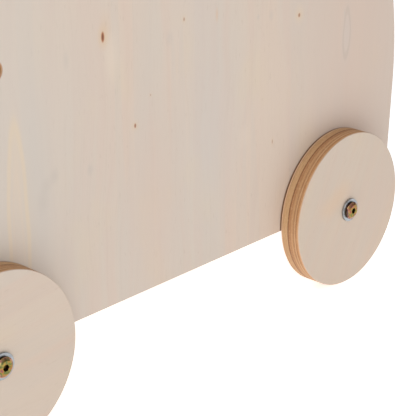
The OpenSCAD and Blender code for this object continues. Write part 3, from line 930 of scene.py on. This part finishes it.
def nut_part(seat, axis):
    """A hexagon with chamfered corners under a round collar that is open at the top."""
    flat_r, slope = NUT_AF / 2, 9 / 7
    chamfer_h = (flat_r / math.cos(math.pi / 6) - flat_r) / slope

    def chamfered(height):
        from_end = min(height, NUT_HEX_H - height)
        limit, hexa = flat_r + slope * from_end, hexagon(NUT_AF)
        return lambda phi: min(hexa(phi), limit)

    steps = [chamfer_h * i / 4 for i in range(5)]
    heights = steps + [NUT_HEX_H - h for h in reversed(steps)]
    rings = [(chamfered(h), h) for h in heights]
    ledge_h = NUT_H - NUT_MOUTH_H
    rings += soften([
        (NUT_COLLAR_R + 0.2 * MM, NUT_HEX_H), (NUT_COLLAR_R, NUT_HEX_H + 0.3 * MM), (NUT_COLLAR_R, NUT_H),
        (NUT_MOUTH_R, NUT_H), (NUT_MOUTH_R, ledge_h), (BOLT_R, ledge_h),
    ], 0.3 * MM)
    rings += [(BOLT_R, 0.5 * MM), (BOLT_R + 0.5 * MM, 0)]
    return turned("nut", rings, seat, axis, closed=True)


def nylon_part(seat, axis):
    """The nylon ring that lies on the ledge in a nut's mouth."""
    ledge_h, soft = NUT_H - NUT_MOUTH_H, 0.25 * MM
    return ring_part(BOLT_R, NUT_MOUTH_R, ledge_h, NUT_H - soft, seat, axis, soft=soft)


def make_nuts(nut_node, ring_node, seats):
    settle(join(nut_node + "_skin", [nut_part(*seat) for seat in seats]), nut_node, MATERIALS["grey_zinc"])
    settle(join(ring_node + "_skin", [nylon_part(*seat) for seat in seats]), ring_node, MATERIALS["nylon"])


def screw_part(place, axis, length):
    """A countersunk wood screw with its head flush at place."""
    tip_h, threaded_l, core_r = 5 * MM, 16 * MM, 1.5 * MM
    rings = [(0.2 * MM, -length), (0.9 * MM, -length + tip_h / 2)]
    rings += thread(SCREW_R, SCREW_R - core_r, 1.8 * MM, -length + tip_h, -length + tip_h + threaded_l)
    rings += [(SCREW_R, -length + tip_h + threaded_l + 0.9 * MM), (SCREW_R, -SCREW_HEAD_H)]
    rings += [(SCREW_HEAD_R, -0.15 * MM), (SCREW_HEAD_R - 0.15 * MM, 0), (2.6 * MM, 0)]
    rings += [(cross(2 * MM), 0), (cross(2 * MM, 0.8), -1.1 * MM), (cross(2 * MM, 0.2), -1.5 * MM)]
    return turned("screw", rings, place, axis)


def tone_of_screw(places, axis):
    """Painted shade in the cross recesses."""
    def rule(point):
        near = min(places, key=lambda place: (point - place).length)
        height = (point - near).dot(axis)
        radius = (point - near - axis * height).length
        return 1.0 if -1.6 * MM < height < -0.2 * MM and radius < 2.1 * MM else 0.0
    return rule


def make_screws(node, places, axis, length):
    screws = join(node + "_skin", [screw_part(place, axis, length) for place in places])
    painted_shade = tone_of_screw(places, axis)
    tone = screws.data.attributes.new("metal_tone", "FLOAT_VECTOR", "POINT")
    for i, vertex in enumerate(screws.data.vertices):
        # the first channel: painted shade in the cross recesses
        tone.data[i].vector = (painted_shade(vertex.co), 0.0, 0.0)
    settle(screws, node, MATERIALS["yellow_zinc"])


def cam_part(place, axis):
    """A cam's disc, flush with the board, with a cross for the screwdriver."""
    round_r, rim_r, dish, slot = 0.4 * MM, 5.5 * MM, 0.3 * MM, 4 * MM
    disc = [(CAM_R - round_r, -CAM_H), (CAM_R, -CAM_H + round_r), (CAM_R, 0), (rim_r, 0)]
    rings = soften(disc, round_r)
    rings += [(rim_r, -dish), (4.6 * MM, -dish), (cross(slot), -dish)]
    rings += [(cross(slot, 0.94), -2 * MM), (cross(slot, 0.3), -2.3 * MM)]
    return turned("cam", rings, place, axis)


def make_cams():
    ends = [cam_part(place, -X * ENDS[end]) for end in ENDS for place in end_cam_places(end)]
    settle(join("end_cam_locks_skin", ends), "end_cam_locks", MATERIALS["zinc_alloy"])
    floor = [cam_part(place, -Z) for place in floor_cam_places()]
    settle(join("floor_cam_locks_skin", floor), "floor_cam_locks", MATERIALS["zinc_alloy"])


def axle_seats(distance, inwards=False):
    """A place and an axis on every axle, that far from the wagon's middle."""
    seats = []
    for x in AXLE_X.values():
        for side in SIDES.values():
            seats.append((Vector((x, side * distance, AXLE_Z)), Y * (-side if inwards else side)))
    return seats


def make_axles():
    washer_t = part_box("hitch_outer_washers")[1].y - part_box("hitch_lug_right")[1].y
    head_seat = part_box("outer_washers")[1].y
    spacer_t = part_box("spacer_washers")[1].y - SIDE_OUT
    for end, x in AXLE_X.items():
        for side, sign in SIDES.items():
            seat = Vector((x, sign * head_seat, AXLE_Z))
            make_bolt(f"axle_bolt_{end}_{side}", seat, Y * sign, AXLE_BOLT_L)
    make_washers("outer_washers", washer_t, axle_seats(head_seat - washer_t))
    make_washers("spacer_washers", spacer_t, axle_seats(SIDE_OUT))
    make_washers("inner_washers", washer_t, axle_seats(SIDE_IN, inwards=True))
    make_nuts("axle_lock_nuts", "axle_nut_inserts", axle_seats(SIDE_IN - washer_t, inwards=True))


# ---------------------------------------------------------------- pull handle

BAR_R, BAR_ARRIS = 22 * MM, 1.6 * MM
SCREW_SINK = 0.6 * MM


def make_lug(side):
    node = "hitch_lug_" + side
    low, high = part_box(node)
    sign = SIDES[side]
    outer_y = low.y if side == "left" else high.y
    basis = Basis((HINGE.x, outer_y, HINGE.z), X, Z, -Y * sign)
    reach = high.x - HINGE.x
    outline = [(reach, -BAR_R), (reach, BAR_R)] + arc((0, 0), BAR_R, 90, 270, 48)
    lug = board(node + "_skin", outline, [hole((0, 0), WASHER_HOLE_R)], basis, BOARD_T, ARRIS)
    write_grain(lug, basis, BOARD_T, turn=90, shift=(3.1 + 0.4 * sign, 0.2))
    settle(lug, node, PLAIN_PLY)


def make_drawbar():
    low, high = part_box("drawbar")
    across = Y.cross(BAR_AXIS)
    length = (GRIP - HINGE).length
    basis = Basis(HINGE - Y * high.y, across, BAR_AXIS, Y)
    outline = arc((0, length), BAR_R, 0, 180, 48) + arc((0, 0), BAR_R, 180, 360, 48)
    grip_r = (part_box("grip_dowel")[1].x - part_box("grip_dowel")[0].x) / 2
    holes = [hole((0, 0), BOLT_R + BORE_SLACK), hole((0, length), grip_r + 0.02 * MM, 96)]
    bar = board("drawbar_skin", outline, holes, basis, high.y - low.y, BAR_ARRIS)
    top = GRIP + BAR_AXIS * (BAR_R - SCREW_SINK)
    drill(bar, top, BAR_AXIS, COUNTERSINK + [(SCREW_R, GRIP_SCREW_L - 1 * MM)])
    write_grain(bar, basis, high.y - low.y, shift=(4.2, 0.3))
    settle(bar, "drawbar", PLAIN_PLY)
    make_screws("grip_screw", [top], BAR_AXIS, GRIP_SCREW_L)


def make_grip():
    low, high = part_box("grip_dowel")
    half_l, radius = (high.y - low.y) / 2, (high.x - low.x) / 2
    end_r = 4 * MM
    quarter = [math.radians(90 * i / 8) for i in range(9)]
    cap = [(radius - end_r * (1 - math.sin(t)), half_l - end_r * (1 - math.cos(t))) for t in quarter]
    rings = [(r, -h) for r, h in cap] + [(r, h) for r, h in reversed(cap)]
    settle(turned("grip_dowel_skin", rings, GRIP, Y), "grip_dowel", MATERIALS["beech"])


def make_hinge():
    lug_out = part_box("hitch_lug_right")[1].y
    seat_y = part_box("hitch_outer_washers")[1].y
    thrust_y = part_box("hitch_thrust_washers")[1].y
    washer_t = seat_y - lug_out

    def at(y):
        return Vector((HINGE.x, y, HINGE.z))

    make_washers("hitch_outer_washers", washer_t, [(at(lug_out), Y), (at(-lug_out), -Y)])
    make_washers("hitch_thrust_washers", washer_t, [(at(thrust_y), -Y), (at(-thrust_y), Y)])
    make_bolt("hitch_bolt", at(-seat_y), -Y, HITCH_BOLT_L)
    make_nuts("hitch_lock_nut", "hitch_nut_insert", [(at(seat_y), Y)])
    make_screws("hitch_lug_screws", lug_screw_places(), X, LUG_SCREW_L)


# ---------------------------------------------------------------- making

make_camera()
make_world()
make_view()
softbox("key", (-1.8, -2.5, 1.9), (0, 0, 0.1), 2.0, 51)
softbox("fill", (2.2, 1.6, 1.6), (0, 0, 0.1), 2.0, 22)
make_floor()

PLAIN_PLY = plywood("birch", knots=PLAIN_KNOTS)
WHEEL_PLY = plywood("birch_wheel", stains=WHEEL_STAINS, plies=WHEEL_PLIES)
MATERIALS = {
    "birch_plywood": PLAIN_PLY,
    "beech": beech(),
    "yellow_zinc": yellow_zinc(),
    "grey_zinc": grey_metal("grey_zinc", srgb(176, 181, 186), srgb(158, 163, 168), 0.28),
    "zinc_alloy": grey_metal("zinc_alloy", srgb(150, 150, 150), srgb(132, 132, 132), 0.42),
    "nylon": nylon(),
}

for side in SIDES:
    make_side_panel(side)
    make_lug(side)
    for end in ENDS:
        make_wheel(end, side)
for end in ENDS:
    make_end_panel(end)
make_floor_panel()
make_axles()
make_cams()
make_drawbar()
make_grip()
make_hinge()

for name, node in frame["nodes"].items():
    for material_slot in node.material_slots:
        material_slot.material = MATERIALS[SLOT_OF[name]]
